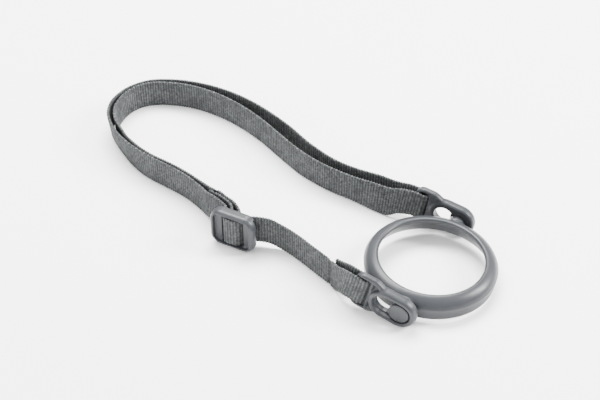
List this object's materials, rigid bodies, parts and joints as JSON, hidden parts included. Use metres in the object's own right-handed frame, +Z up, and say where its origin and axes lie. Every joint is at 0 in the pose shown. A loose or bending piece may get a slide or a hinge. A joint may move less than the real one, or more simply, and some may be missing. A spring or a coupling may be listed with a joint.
{
  "type": "adjustable bottle carry strap",
  "caption": "Moulded bottle-neck ring with side studs, keyhole clips snapped on the studs and a doubled flat webbing strap with a tri-glide slider.",
  "frame": {"origin": "middle of the bounding box, on the surface that the strap lies on", "axes": "+X from the strap's loop towards the bottle ring, +Y along the stud axis from the front clip to the rear clip, +Z up"},
  "size_m": [0.2989, 0.1373, 0.0285],
  "materials": {
    "moulded_plastic": "satin moulded mid-grey",
    "webbing": "coarse ribbed weave, grey",
    "thread": "grey sewing thread"
  },
  "bodies": {
    "strap": {"inner_run": "webbing", "outer_run": "webbing", "slider_tail": "webbing", "front_run": "webbing", "front_flap": "webbing", "tail_stitching": "thread", "hem_stitching": "thread"},
    "ring": {"bottle_ring": "moulded_plastic"},
    "front_clip": {"front_clip": "moulded_plastic", "front_loop": "webbing"},
    "rear_clip": {"rear_clip": "moulded_plastic", "rear_loop": "webbing"},
    "slider": {"slider": "moulded_plastic", "slider_pass": "webbing", "slider_loop": "webbing"}
  },
  "joints": [
    {"name": "ring_pivot", "type": "hinge", "parent": "strap", "child": "ring", "pos_m": [0.109, -0.0205, 0.01], "axis": [0, 1, 0], "continuous": true},
    {"name": "front_clip_release", "type": "slide", "parent": "strap", "child": "front_clip", "axis": [0.9744, 0, -0.225], "range_m": [0, 0.009]},
    {"name": "rear_clip_release", "type": "slide", "parent": "strap", "child": "rear_clip", "axis": [0.9877, 0, -0.1564], "range_m": [0, 0.009]},
    {"name": "slider_adjust", "type": "slide", "parent": "strap", "child": "slider", "axis": [1, 0, 0], "range_m": [0, 0.008]}
  ]
}
